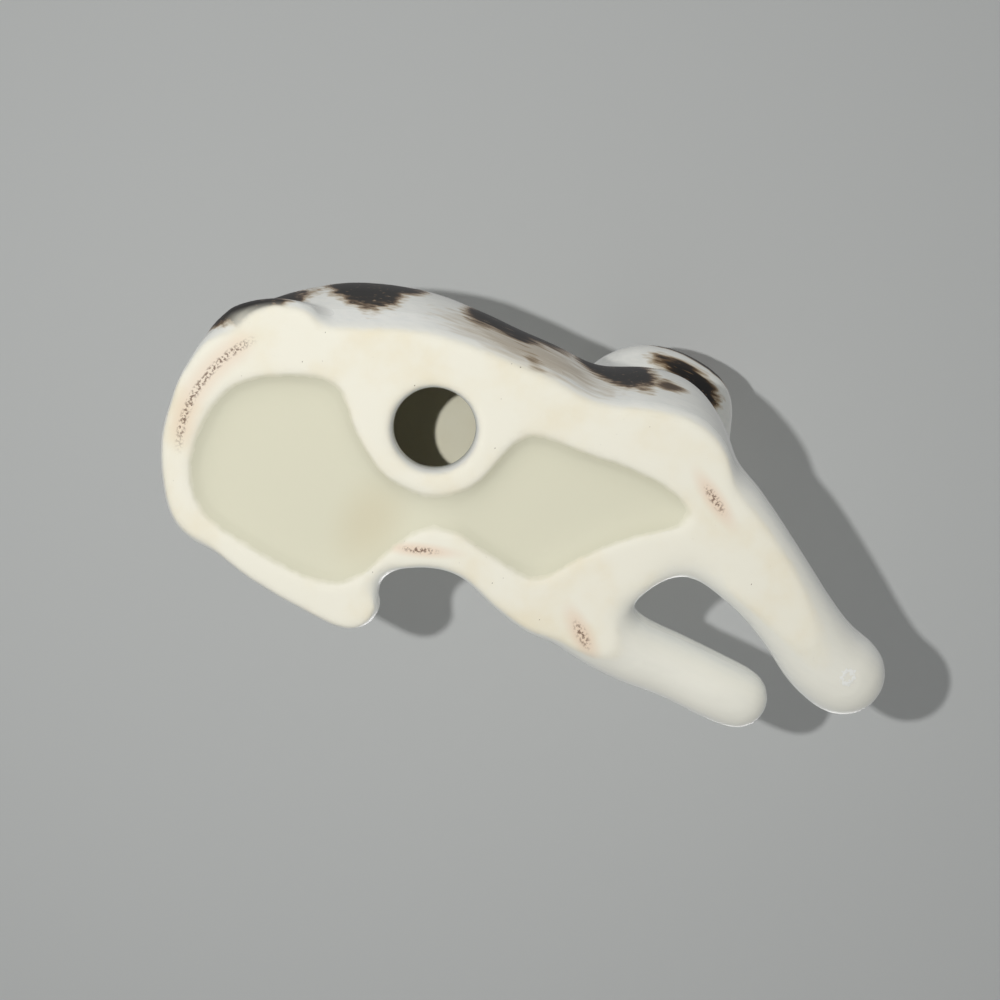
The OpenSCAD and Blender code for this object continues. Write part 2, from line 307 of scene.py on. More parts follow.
def ease(skin, verts, passes):
    """Smooths a few points of the skin."""
    for _ in range(passes):
        bmesh.ops.smooth_vert(
            skin, verts=verts, factor=FLOW, use_axis_x=True, use_axis_y=True, use_axis_z=True)


# Modelling: the face and the toes

def eye_relief(x, z):
    """A round eyeball in its socket, with a lid around it."""
    eye_x, eye_z, half_x, half_z = EYE
    slant = math.radians(EYE_SLANT)
    along = (x - eye_x) * math.cos(slant) + (z - eye_z) * math.sin(slant)
    over = (z - eye_z) * math.cos(slant) - (x - eye_x) * math.sin(slant)
    away = math.hypot(along / half_x, over / half_z)
    eyeball = RELIEF["eyeball"] * math.sqrt(max(0.0, 1 - (away / 1.15) ** 2))
    lid = RELIEF["lid"] * hill(away - 1.26, 0.17) - RELIEF["lid_crease"] * hill(away - 1.03, 0.08)
    return eyeball + lid


def nose_relief(x, z):
    """The tip of the nose, with two nostrils."""
    nose_z, half_x, half_z = NOSE
    tip = math.hypot(x / half_x, (z - nose_z) / half_z)
    nostril = math.hypot(x - NOSTRIL[0], z - NOSTRIL[1])
    return RELIEF["nose"] * hill(tip ** 1.5, 0.9) - RELIEF["nostril"] * hill(nostril, 0.5)


def mouth_relief(x, z):
    """The whisker pads, with the arcs of the mouth cut under them and a seam between them."""
    pad_x, pad_z, pad_radius = WHISKER_PAD
    mouth_x, mouth_z, radius = MOUTH
    pad = RELIEF["whisker_pad"] * hill(math.hypot(x - pad_x, z - pad_z), pad_radius)
    if z < mouth_z:
        return pad - RELIEF["mouth"] * hill(math.hypot(x - mouth_x, z - mouth_z) - radius, 0.4)
    return pad - RELIEF["lip_seam"] * hill(x, 0.4) * smooth_step(*LIP_SEAM, z)


def face_relief(x, z):
    """How far the modelled face stands out of the smooth head, seen from the front."""
    x = abs(x)
    return eye_relief(x, z) + nose_relief(x, z) + mouth_relief(x, z)


def toe_relief(across, ahead, above, half):
    """How deep the grooves between the toes are. They start above the middle of the paw's end."""
    groove = max(hill(across - place * half, TOE_GAP_WIDTH * half) for place in TOE_GAPS)
    on_end = smooth_step(-0.1 * half, 0.5 * half, ahead)
    above_middle = smooth_step(-0.2 * half, 0.3 * half, above)
    return -RELIEF["toe_gap"] * groove * on_end * above_middle


def model_details(skin):
    """Refines the skin where there is detail, and models the face and the toes into it."""
    to_head = (Matrix.Scale(MM, 4) @ HEAD_MATRIX).inverted()
    ears = [skin.verts.layers.float[name] for name in EARS]

    def on_face(vert):
        place = to_head @ vert.co
        in_front = place.y < FACE_BACK and abs(place.x) < FACE_HALF and FACE_LOW < place.z < FACE_HIGH
        return in_front and all(vert[ear] > 0 for ear in ears)

    def on_paw(vert, middle, half):
        return (vert.co / MM - middle).length < PAW_REACH * half

    def has_detail(vert):
        return on_face(vert) or any(on_paw(vert, middle, half) for middle, _, half in PAWS)

    fine = {v for v in skin.verts if has_detail(v)}
    edges = [e for e in skin.edges if all(v in fine for v in e.verts)]
    bmesh.ops.subdivide_edges(skin, edges=edges, cuts=1, use_grid_fill=True)
    fine = [v for v in skin.verts if v.co.z > GROUNDED and has_detail(v)]
    ease(skin, fine, DETAIL_RUNS)
    skin.normal_update()
    for vert in fine:
        place = to_head @ vert.co
        if on_face(vert):
            fade = smooth_step(FACE_BACK, FACE_FULL, place.y)
            vert.co += vert.normal * (face_relief(place.x, place.z) * fade * MM)
            continue
        for middle, ahead, half in PAWS:
            if on_paw(vert, middle, half):
                offset = vert.co / MM - middle
                across = offset.dot(ahead.cross((0, 0, 1)))
                relief = toe_relief(across, offset.dot(ahead), offset.z, half)
                vert.co += vert.normal * (relief * MM)
    ease(skin, fine, FINISH_RUNS)


# Parting the skin into its castings again

def cut_along(skin, name):
    """New edges along the line where the joint value changes sign."""
    value = skin.verts.layers.float[name]
    faces = set()
    for vert in [v for v in skin.verts if v[value] < 0]:
        for edge in list(vert.link_edges):
            other = edge.other_vert(vert)
            if other[value] > 0:
                share = vert[value] / (vert[value] - other[value])
                share = min(1 - CUT_MARGIN, max(CUT_MARGIN, share))
                new_vert = bmesh.utils.edge_split(edge, vert, share)[1]
                new_vert[value] = 0.0
                faces.update(new_vert.link_faces)
    for face in faces:
        corners = [v for v in face.verts if v[value] == 0.0]
        if len(corners) == 2:
            bmesh.utils.face_split(face, *corners)


def largest_patch(faces):
    """The largest connected set among the faces."""
    left = set(faces)
    largest = set()
    while left:
        patch = {left.pop()}
        waiting = list(patch)
        while waiting:
            face = waiting.pop()
            for edge in face.edges:
                for other in edge.link_faces:
                    if other in left:
                        left.discard(other)
                        patch.add(other)
                        waiting.append(other)
        if len(patch) > len(largest):
            largest = patch
    return largest


def part_castings(skin):
    """Gives every face the number of its casting in CASTINGS."""
    casting = skin.faces.layers.int["casting"]
    for name in JOINTS:
        cut_along(skin, name)
        value = skin.verts.layers.float[name]
        number = CASTINGS.index(name)
        carried = [f for f in skin.faces if sum(v[value] for v in f.verts) < 0]
        for face in largest_patch(carried):
            face[casting] = number
    torso = CASTINGS.index("torso")
    base = CASTINGS.index("footed_base")
    body = [f for f in skin.faces if f[casting] == torso]
    bound = {e for f in body for e in f.edges}
    corners = {v for f in body for v in f.verts}
    bmesh.ops.bisect_plane(
        skin, geom=[*body, *bound, *corners], dist=MERGE, plane_co=(0, 0, PARTING), plane_no=(0, 0, 1))
    for face in skin.faces:
        if face[casting] == torso and face.calc_center_median().z < PARTING:
            face[casting] = base


def edge_runs(edges):
    """Edges sorted into connected runs."""
    left = set(edges)
    runs = []
    while left:
        run = [left.pop()]
        for edge in run:
            for vert in edge.verts:
                for other in vert.link_edges:
                    if other in left:
                        left.discard(other)
                        run.append(other)
        runs.append(run)
    return runs


def of_kind(geometry, kind):
    return [item for item in geometry if isinstance(item, kind)]


def hide(part, faces):
    """Marks faces that lie inside a joint."""
    hidden = part.faces.layers.int["hidden"]
    for face in faces:
        face[hidden] = 1


def in_seam(vert):
    return abs(vert.co.z - PARTING) < MERGE


def close_joint(part, loop):
    """Closes the place where one casting sat on another with a shallow lid."""
    rim = {v for edge in loop for v in edge.verts}
    middle = sum((v.co for v in rim), Vector()) / len(rim)
    for share in LID_RINGS:
        made = bmesh.ops.extrude_edge_only(part, edges=loop)["geom"]
        hide(part, of_kind(made, bmesh.types.BMFace))
        loop = [e for e in of_kind(made, bmesh.types.BMEdge) if e.is_boundary]
        ring = {v for edge in loop for v in edge.verts}
        for vert in ring:
            vert.co = middle.lerp(vert.co, share)
    bmesh.ops.pointmerge(part, verts=list(ring), merge_co=middle)


def cut_out(skin, number):
    """A copy of the faces of one casting, with the skin's normals and with what lies in the recess."""
    casting = skin.faces.layers.int["casting"]
    normal = skin.verts.layers.float_vector["slip_normal"]
    recess = skin.verts.layers.float["recess"]
    part = bmesh.new()
    part_normal = part.verts.layers.float_vector.new("slip_normal")
    part_recess = part.verts.layers.float.new("recess")
    part.faces.layers.int.new("hidden")
    copies = {}
    for face in skin.faces:
        if face[casting] == number:
            for vert in face.verts:
                if vert not in copies:
                    copies[vert] = part.verts.new(vert.co)
                    copies[vert][part_normal] = vert[normal]
                    copies[vert][part_recess] = vert[recess]
            part.faces.new([copies[vert] for vert in face.verts])
    return part


def one_casting(skin, name):
    """One closed casting, cut out of the skin. The torso's inner wall gets its second material."""
    part = cut_out(skin, CASTINGS.index(name))
    if name == "torso":
        outer = largest_patch(part.faces)
        for face in part.faces:
            face.material_index = 0 if face in outer else 1
    seam = []
    for run in edge_runs([e for e in part.edges if e.is_boundary]):
        if name in ("torso", "footed_base") and any(in_seam(v) for e in run for v in e.verts):
            seam += run
        else:
            close_joint(part, run)
    if seam:
        hide(part, bmesh.ops.bridge_loops(part, edges=seam)["faces"])
    bmesh.ops.recalc_face_normals(part, faces=part.faces)
    return part


def slip_shaded(piece):
    """Shades the casting with the whole skin's normals, so that no joint shows."""
    mesh = piece.data
    mesh.shade_smooth()
    normal = [Vector(item.vector) for item in mesh.attributes["slip_normal"].data]
    hidden = [item.value for item in mesh.attributes["hidden"].data]
    corners = [Vector()] * len(mesh.loops)
    for face in mesh.polygons:
        if not hidden[face.index]:
            for corner in face.loop_indices:
                corners[corner] = normal[mesh.loops[corner].vertex_index]
    mesh.normals_split_custom_set(corners)
    for name in ("slip_normal", "hidden"):
        mesh.attributes.remove(mesh.attributes[name])


# Making the pieces

def made_pieces():
    """The finished castings by name."""
    skin = joined_skin()
    model_details(skin)
    part_castings(skin)
    skin.normal_update()
    slip_normal = skin.verts.layers.float_vector["slip_normal"]
    for vert in skin.verts:
        vert[slip_normal] = vert.normal
    pieces = {}
    for name in CASTINGS:
        part = one_casting(skin, name)
        pieces[name] = placed(name + "_casting", part)
        part.free()
        slip_shaded(pieces[name])
    skin.free()
    return pieces


# Materials

class Glaze:
    """A material's nodes, with a short call for each kind that the glazes use. Lengths are millimetres.
    Its coat, rough and relief are painted over step by step, and fired at the end."""

    def __init__(self, name):
        self.material = bpy.data.materials.new(name)
        self.material.use_nodes = True
        self.tree = self.material.node_tree
        self.surface = self.tree.nodes["Principled BSDF"]
        coordinates = self.add("ShaderNodeTexCoord")
        self.place = self.vector("SCALE", coordinates.outputs["Object"], scale=1 / MM)
        self.normal = coordinates.outputs["Normal"]

    def add(self, kind, **settings):
        node = self.tree.nodes.new(kind)
        for key, value in settings.items():
            setattr(node, key, value)
        return node

    def feed(self, socket, value):
        if isinstance(value, bpy.types.NodeSocket):
            self.tree.links.new(value, socket)
        else:
            socket.default_value = value

    def vector(self, operation, value, other=None, scale=None):
        node = self.add("ShaderNodeVectorMath", operation=operation)
        self.feed(node.inputs[0], value)
        if other is not None:
            self.feed(node.inputs[1], other)
        if scale is not None:
            self.feed(node.inputs["Scale"], scale)
        return node.outputs["Value" if operation in ("LENGTH", "DOT_PRODUCT") else "Vector"]

    def axis(self, value, name):
        node = self.add("ShaderNodeSeparateXYZ")
        self.feed(node.inputs[0], value)
        return node.outputs[name]

    def math(self, operation, a, b=0.0):
        node = self.add("ShaderNodeMath", operation=operation)
        self.feed(node.inputs[0], a)
        self.feed(node.inputs[1], b)
        return node.outputs[0]

    def plus(self, a, b):
        return self.math("ADD", a, b)

    def times(self, a, b):
        return self.math("MULTIPLY", a, b)

    def apart(self, a, b):
        """How far two values lie apart."""
        return self.math("ABSOLUTE", self.math("SUBTRACT", a, b))

    def most(self, values):
        """The largest of several values."""
        largest = values[0]
        for value in values[1:]:
            largest = self.math("MAXIMUM", largest, value)
        return largest

    def step(self, value, low, high, start=0.0, end=1.0):
        """From start at low to end at high, with level ends."""
        if low > high:
            low, high, start, end = high, low, end, start
        node = self.add("ShaderNodeMapRange", interpolation_type="SMOOTHSTEP")
        for socket, part in zip(node.inputs, (value, low, high, start, end)):
            self.feed(socket, part)
        return node.outputs[0]

    def moved(self, place, centre, radii, turn=(0, 0, 0)):
        """Places counted from a centre, in radii, along turned axes."""
        node = self.add("ShaderNodeMapping", vector_type="TEXTURE")
        self.feed(node.inputs["Vector"], place)
        node.inputs["Location"].default_value = centre
        node.inputs["Rotation"].default_value = [math.radians(a) for a in turn]
        node.inputs["Scale"].default_value = radii
        return node.outputs[0]

    def spot(self, centre, radii, turn=(0, 0, 0), place=None):
        """How far a point lies from the centre, counted in radii."""
        return self.vector("LENGTH", self.moved(place or self.place, centre, radii, turn))

    def noise(self, size, stretch=(1, 1, 1), detail=2.0):
        """Noise whose lumps are about size wide, longer along an axis with a larger stretch."""
        node = self.add("ShaderNodeTexNoise")
        self.feed(node.inputs["Vector"], self.moved(self.place, (0, 0, 0), [size * s for s in stretch]))
        node.inputs["Scale"].default_value = 1.0
        node.inputs["Detail"].default_value = detail
        return node.outputs["Fac"]

    def mix(self, share, first, second):
        """A tone between two others."""
        node = self.add("ShaderNodeMix", data_type="RGBA")
        self.feed(node.inputs["Factor"], share)
        for number, value in ((6, first), (7, second)):
            self.feed(node.inputs[number], (*value, 1) if isinstance(value, tuple) else value)
        return node.outputs[2]

    def blend(self, share, first, second):
        """A number between two others."""
        node = self.add("ShaderNodeMix", data_type="FLOAT")
        for number, value in ((0, share), (2, first), (3, second)):
            self.feed(node.inputs[number], value)
        return node.outputs[0]

    def ramp(self, value, stops):
        node = self.add("ShaderNodeValToRGB")
        self.feed(node.inputs[0], value)
        ramp = node.color_ramp
        while len(ramp.elements) < len(stops):
            ramp.elements.new(0.5)
        for element, (position, tone) in zip(ramp.elements, stops):
            element.position = position
            element.color = (*tone, 1)
        return node.outputs["Color"]

    def paint(self, share, tone):
        """Paints a share of a tone over the coat."""
        self.coat = self.mix(share, self.coat, tone)

    def dull(self, share, rough):
        """Makes a share of the surface duller."""
        self.rough = self.blend(share, self.rough, rough)

    def raise_by(self, height):
        self.relief = self.plus(self.relief, height)

    def fired(self, strength, depth):
        """The finished material, whose relief shows with a strength and a depth."""
        self.feed(self.surface.inputs["Base Color"], self.coat)
        self.feed(self.surface.inputs["Roughness"], self.rough)
        bump = self.add("ShaderNodeBump")
        self.feed(bump.inputs["Height"], self.relief)
        bump.inputs["Strength"].default_value = strength
        bump.inputs["Distance"].default_value = depth * MM
        self.feed(self.surface.inputs["Normal"], bump.outputs[0])
        return self.material


def colour(r, g, b):
    """A colour as it shows on a screen, from 0 to 255, in linear light."""
    return tuple((c / 255 / 12.92 if c <= 10 else ((c / 255 + 0.055) / 1.055) ** 2.4) for c in (r, g, b))


def on_head(x, y, z):
    """A place on the head, in millimetres from the foot's origin."""
    return tuple(HEAD_MATRIX @ Vector((x, y, z)))


WHITE_GLAZE = colour(236, 236, 229)
GREY_HAIRS = colour(230, 231, 225)
CREAM_GLAZE = colour(220, 217, 194)
POOLED_GLAZE = colour(206, 192, 156)
CAVITY_GLAZE = colour(242, 239, 217)
CAVITY_STAIN = colour(232, 226, 200)
BISQUE = colour(240, 237, 222)
BISQUE_STAIN = colour(234, 223, 194)
CHALK = colour(244, 244, 238)
KILN_FLUSH = colour(230, 199, 173)
RUST = colour(98, 69, 51)
EAR_PINK = colour(216, 164, 150)
NOSE_PINK = colour(206, 146, 134)
MOUTH_BROWN = colour(92, 58, 48)
WHISKER_BROWN = colour(70, 50, 40)
EYE_LINE = colour(26, 19, 14)
PUPIL_BLACK = colour(10, 9, 8)
IRIS_STOPS = [
    (0.0, colour(196, 182, 74)), (0.45, colour(172, 158, 62)),
    (0.8, colour(110, 108, 48)), (1.0, colour(52, 50, 26))]
FUR_STOPS = [
    (0.0, WHITE_GLAZE), (0.2, colour(214, 207, 192)), (0.42, colour(168, 150, 124)),
    (0.62, colour(92, 68, 38)), (0.8, colour(38, 26, 12)), (1.0, colour(16, 11, 6))]

# How rough the finishes are
GLOSS = (0.14, 0.24)
CAVITY_ROUGH = 0.45
UNDERSIDE_ROUGH = 0.45
FUR_ROUGH = 0.5
BISQUE_ROUGH = 0.72

# How strongly and how deep, in millimetres, the unevenness of the finishes shows
GLAZE_BUMP = (0.35, 0.12)
CAVITY_BUMP = (0.3, 0.1)

# Airbrushed fur: centre, radii and turn of each patch, in millimetres and degrees
FUR_PATCHES = [
    ((-15, 74, 13), (13, 11.5, 15)),
    ((-29, 53.3, 28), (14, 10.5, 24)),
    ((-34, 22.5, 26), (13, 13, 24)),
    ((-36, 0, 19), (11, 10, 20)),
    ((2, 74, 42), (15, 9, 11)),
    ((-12, 55, 50), (22, 9.5, 16), (0, 0, -8)),
    ((-14, 28, 48), (22, 8, 15), (0, 0, 12)),
    ((-7, 5, 54), (11, 8, 15), (0, 0, 14)),
    ((37, 49, 30), (15, 10, 20)),
    ((22, 55, 48), (14, 8, 10), (0, 0, 20)),
    ((19, 18, 36), (11, 10, 17)),
    ((20, -14, 27), (9, 7.5, 15)),
]
# The same on either side of the head: two stripes on the cheek, and a cap at the ear
for side in (-1, 1):
    FUR_PATCHES += [
        (on_head(side * 16.5, -2, -8.5), (7, 13, 4.2), (11, 0, HEAD_TURN)),
        (on_head(side * 18, 0, 0), (6, 10, 3.4), (11, 0, HEAD_TURN)),
        (on_head(side * 11, 4, 20), (9.5, 14, 14), (0, 0, HEAD_TURN)),
    ]
FUR_REACH = 1.4      # how far a patch can reach, in its largest radius

# Thinner airbrushing without a dark middle, under the fur of the right flank and before its last patch, with
# the depth of its tone
FUR_MISTS = [
    ((-32, 19, 9), (12, 25, 12), 0.3),
    ((-36.7, -10.2, 13.2), (6, 5, 4.2), 0.72),
]

# Kiln marks on the foot: centre, half sizes and turn
RUST_MARKS = [
    ((-21.3, -27.7, 0), (4.2, 1.2, 9), (0, 0, -60)),
    ((16.8, -16.2, 0), (4.0, 1.4, 9), (0, 0, -52)),
    ((15, 22.2, 0), (4.6, 0.9, 9), (0, 0, -110)),
]
# The ring that the grit follows, and the stretch at the rear where it lies
GRIT_RING = ((7.5, 52, 0), (26.5, 25.6, 99))
REAR_RIM = ((2, 76, 0), (17, 9, 9))
# The stain in the recess, and the chip under the right paw
RECESS_STAIN = ((15, 34, 3), (13, 9, 9))
PAW_CHIP = ((0.9, -71.3, 1.6), (1.5, 1.3, 5))

# Paint on the face, in millimetres from the head's centre: where it fades out, half sizes, and places
PAINT_BACK = -8
PUPIL = (0.95, 2.35)
CATCH_LIGHT = (0.6, 99, 0.5)
MOUTH_END = (4.7, 4.1)
WHISKER_DOTS = [(4.6, -5.4), (6.1, -5.2), (5.9, -6.7), (7.3, -6.4)]
WHISKER_DOT = 0.34

# Where the left ear's hollow faces, on the head
EAR_FACING = (0.466, -0.883, -0.066)


def patches_near(node):
    """The fur patches that can reach a casting."""
    low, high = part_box(node)
    near = []
    for patch in FUR_PATCHES:
        centre, radii = patch[:2]
        reach = FUR_REACH * max(radii)
        if all(low[k] / MM - reach < centre[k] < high[k] / MM + reach for k in range(3)):
            near.append(patch)
    return near


def airbrush_fur(glaze, patches):
    """Dark fur with ragged edges and a few light hairs, duller than the glaze around it."""
    hairs = glaze.noise(0.9, stretch=(1, 8, 1.3), detail=1.5)
    broad = glaze.noise(12.0, stretch=(1, 1.3, 1), detail=1.5)
    ragged = glaze.plus(glaze.times(hairs, 0.45), glaze.times(broad, 1.5))
    dark = glaze.most([
        glaze.step(glaze.plus(glaze.spot(*patch), ragged), 2.06, 1.5) for patch in patches])
    light_hairs = glaze.step(glaze.noise(0.5, stretch=(1, 9, 1), detail=1), 0.63, 0.75, 1.0, 0.6)
    mists = [
        glaze.step(glaze.plus(glaze.spot(middle, radii), hairs), 1.6, 0.7, 0.0, depth)
        for middle, radii, depth in FUR_MISTS]
    fur = glaze.most([glaze.times(dark, light_hairs), *mists])
    glaze.paint(glaze.step(fur, 0.0, 0.1), glaze.ramp(fur, FUR_STOPS))
    glaze.dull(glaze.step(fur, 0.3, 0.9), FUR_ROUGH)


class Face:
    """The front of the head as it is painted, alike on both sides, in millimetres from the head's centre."""

    def __init__(self, glaze):
        self.glaze = glaze
        self.place = glaze.moved(glaze.place, tuple(HEAD_CENTRE), (1, 1, 1), (0, 0, HEAD_TURN))
        self.across = glaze.math("ABSOLUTE", glaze.axis(self.place, "X"))
        self.height = glaze.axis(self.place, "Z")
        self.front = glaze.step(glaze.axis(self.place, "Y"), PAINT_BACK, FACE_FULL)
        both_sides = glaze.add("ShaderNodeCombineXYZ")
        glaze.feed(both_sides.inputs["X"], self.across)
        glaze.feed(both_sides.inputs["Z"], self.height)
        self.both_sides = both_sides.outputs[0]

    def mark(self, x, z, half_x, half_z, slant=0.0):
        """How far a point lies from the middle of a mark, counted in its half sizes."""
        return self.glaze.spot((x, 0, z), (half_x, 1, half_z), (0, -slant, 0), self.both_sides)

    def inside(self, distance, soft):
        """1 inside a mark with a soft edge, on the front alone."""
        return self.glaze.times(self.glaze.step(distance, 1 + soft, 1 - soft), self.front)


def paint_eyes(face):
    """Almond eyes with a dark line around them, a slit pupil and a catch-light, a painted highlight."""
    glaze = face.glaze
    x, z, half_x, half_z = EYE
    lid = half_x * 0.42
    reach = half_z + lid
    almond = glaze.most([
        face.mark(x + way * lid * 0.2, z - way * lid, reach, reach, EYE_SLANT) for way in (1, -1)])
    glaze.paint(face.inside(glaze.times(almond, 0.86), 0.04), EYE_LINE)
    iris = glaze.ramp(face.mark(x, z, half_x, half_x), IRIS_STOPS)
    glaze.paint(face.inside(glaze.times(almond, 1.03), 0.03), iris)
    glaze.paint(face.inside(face.mark(x - 0.2, z, *PUPIL, EYE_SLANT * 0.3), 0.12), PUPIL_BLACK)
    # Painted highlight: a white dot of glaze colour stands in for a reflection in each eye
    lights = [
        glaze.spot((side * x - 0.9, 0, z + 1.05), CATCH_LIGHT, place=face.place) for side in (-1, 1)]
    glaze.paint(glaze.most([face.inside(light, 0.2) for light in lights]), WHITE_GLAZE)


def paint_nose(face):
    """A pink wedge, wider above than below."""
    z, half_x, half_z = NOSE
    wedge = face.glaze.most([
        face.mark(0, z + 0.5, half_x, half_z), face.mark(0, z - 1.0, half_x * 1.1, half_z * 1.7)])
    face.glaze.paint(face.inside(wedge, 0.12), NOSE_PINK)


def paint_mouth(face):
    """Two arcs under a short seam."""
    glaze = face.glaze
    x, z, radius = MOUTH
    arc = glaze.step(glaze.apart(face.mark(x, z, radius, radius), 1.0), 0.13, 0.06)
    below = glaze.times(glaze.step(face.height, z + 0.3, z - 0.3), glaze.step(face.across, *MOUTH_END))
    above = glaze.step(glaze.apart(face.height, z + 0.6), 0.9, 0.7)
    seam = glaze.times(glaze.step(face.across, 0.3, 0.15), above)
    lines = glaze.times(glaze.most([glaze.times(arc, below), seam]), face.front)
    glaze.paint(glaze.times(lines, 0.8), MOUTH_BROWN)


def paint_whiskers(face):
    """Small dots where the whiskers would grow."""
    glaze = face.glaze
    dots = glaze.most([
        face.inside(face.mark(x, z, WHISKER_DOT, WHISKER_DOT), 0.2) for x, z in WHISKER_DOTS])
    glaze.paint(glaze.times(dots, 0.7), WHISKER_BROWN)


def paint_face(glaze):
    face = Face(glaze)
    paint_eyes(face)
    paint_nose(face)
    paint_mouth(face)
    paint_whiskers(face)


def line_ear(glaze, node):
    """Pink in the ear's hollow."""
    mirrored = Vector((1 if node == "left_ear" else -1, 1, 1))
    ahead = Matrix.Rotation(math.radians(HEAD_TURN), 3, "Z") @ (Vector(EAR_FACING) * mirrored)
    faced = glaze.vector("DOT_PRODUCT", glaze.normal, tuple(ahead))
    glaze.paint(glaze.step(faced, 0.7, 0.9), EAR_PINK)


def kiln_marks(glaze):
    """Where iron grit marks the foot, at three roots and as a broken line inside the rear rim, and the warm
    flush around it."""
    ring = glaze.apart(glaze.spot(*GRIT_RING), 1.0)
    rear = glaze.step(glaze.spot(*REAR_RIM), 1.0, 0.6)
    line = glaze.times(glaze.step(ring, 0.045, 0.01), rear)
    spots = [glaze.spot(*mark) for mark in RUST_MARKS]
    marks = [glaze.step(spot, 1.1, 0.3) for spot in spots]
    grains = glaze.step(glaze.noise(0.6, detail=3), 0.45, 0.6, 0.0, 0.8)
    specks = glaze.step(glaze.noise(0.9, detail=1), 0.79, 0.82)
    grit = glaze.most([glaze.times(glaze.most([line, *marks]), grains), specks])
    warm_rim = glaze.times(glaze.step(ring, 0.16, 0.02, 0.0, 0.4), rear)
    flush = glaze.most([warm_rim, *(glaze.step(spot, 2.4, 0.3, 0.0, 0.6) for spot in spots)])
    return grit, flush


def glaze_underside(glaze, node, down):
    """A cream pool of glaze in the base's recess, and a thin dull glaze on what else faces down."""
    outside = down
    if node == "footed_base":
        recess = glaze.add("ShaderNodeAttribute", attribute_name="recess").outputs["Fac"]
        stain = glaze.step(glaze.spot(*RECESS_STAIN), 1.1, 0.1, 0.0, 0.35)
        cream = glaze.mix(stain, CREAM_GLAZE, POOLED_GLAZE)
        glaze.paint(glaze.times(recess, glaze.step(down, 0.25, 0.75)), cream)
        outside = glaze.times(down, glaze.math("SUBTRACT", 1.0, recess))
    glaze.dull(glaze.step(outside, 0.1, 0.6), UNDERSIDE_ROUGH)
    glaze.paint(glaze.step(outside, 0.3, 0.9, 0.0, 0.75), BISQUE)


def wipe_foot(glaze, down):
    """Bare, sandy bisque on the foot plane, with a ragged edge of glaze, stains and kiln marks."""
    height = glaze.axis(glaze.place, "Z")
    ragged = glaze.times(glaze.noise(2.5, detail=3), 0.9)
    bare = glaze.times(glaze.step(down, 0.2, 0.6), glaze.step(glaze.plus(height, ragged), 1.7, 0.55))
    stain = glaze.step(glaze.noise(14.0, detail=4), 0.4, 0.75, 0.1, 0.7)
    grit, flush = kiln_marks(glaze)
    clay = glaze.mix(flush, glaze.mix(stain, BISQUE, BISQUE_STAIN), KILN_FLUSH)
    glaze.paint(bare, glaze.mix(grit, clay, RUST))
    glaze.dull(bare, BISQUE_ROUGH)
    glaze.raise_by(glaze.times(glaze.noise(0.35, detail=3), glaze.times(bare, 0.5)))


def chip_paw(glaze):
    """A chalky, uneven ring where the glaze is chipped."""
    uneven = glaze.plus(glaze.spot(*PAW_CHIP), glaze.times(glaze.noise(0.6, detail=3), 2.0))
    chip = glaze.step(glaze.apart(uneven, 1.9), 0.4, 0.2)
    glaze.paint(chip, CHALK)
    glaze.raise_by(glaze.times(chip, 2.0))


def porcelain(node):
    """White glaze with airbrushed fur, which ends in bare bisque at the foot plane."""
    glaze = Glaze(node + "_glaze")
    hairs = glaze.noise(0.9, stretch=(1, 7, 1.5), detail=3)
    glaze.coat = glaze.mix(glaze.step(hairs, 0.35, 0.75), WHITE_GLAZE, GREY_HAIRS)
    glaze.rough = glaze.blend(glaze.noise(5.0), *GLOSS)
    glaze.relief = glaze.plus(glaze.times(glaze.noise(3.0), 0.6), glaze.times(hairs, 0.1))
    patches = patches_near(node)
    if patches:
        airbrush_fur(glaze, patches)
    if node == "head":
        paint_face(glaze)
    if node in EARS:
        line_ear(glaze, node)
    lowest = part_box(node)[0].z
    if lowest < MM:
        down = glaze.times(glaze.axis(glaze.normal, "Z"), -1.0)
        glaze_underside(glaze, node, down)
        wipe_foot(glaze, down)
    if node == "right_foreleg":
        chip_paw(glaze)
    return glaze.fired(*GLAZE_BUMP)


def cavity_glaze():
    """Thin cream glaze inside the hollow."""
    glaze = Glaze("cavity_glaze")
    glaze.coat = glaze.mix(glaze.noise(9.0, detail=3), CAVITY_GLAZE, CAVITY_STAIN)
    glaze.rough = CAVITY_ROUGH
    glaze.relief = glaze.noise(2.0)
    return glaze.fired(*CAVITY_BUMP)


# Camera, stage and light

VIEW_TURN = math.radians(26)
VIEW_TILT = math.radians(14)
VIEW_ANGLE = math.radians(30)
VIEW_DISTANCE = 384 * MM
VIEW_AIM = Vector((-1.9, 12.03, 0)) * MM
VIEW_RIGHT = Vector((-math.sin(VIEW_TURN), -math.cos(VIEW_TURN), 0))
VIEW_LEVEL = Vector((-math.cos(VIEW_TURN), math.sin(VIEW_TURN), 0))
VIEW_UP = VIEW_LEVEL * math.cos(VIEW_TILT) + Vector((0, 0, math.sin(VIEW_TILT)))
VIEW_BACK = VIEW_RIGHT.cross(VIEW_UP)

PALE = (0.72, 0.72, 0.71)
PALE_SHEET = (0.52, 0.53, 0.52)
BACKDROP = (0.55, 0.555, 0.56)
BLACK = (0.0, 0.0, 0.0)
FILL = 0.63                      # the backdrop's strength as a light, next to 1 where it is seen

FLOOR_SIZE = 8.0
FLOOR_LIFT = 0.6 * MM            # keeps the lamp below from showing as a bright line along the foot
FLOOR_FADE = (250, 1500)         # where the floor fades into the backdrop, in millimetres
SHEET_SIZE = 0.7
SHEET_DEPTH = 84.8 * MM          # how far the sheet behind the cat lies from the origin
SHEET_FACING = Vector((-0.13, 0.065, -0.989)).normalized()

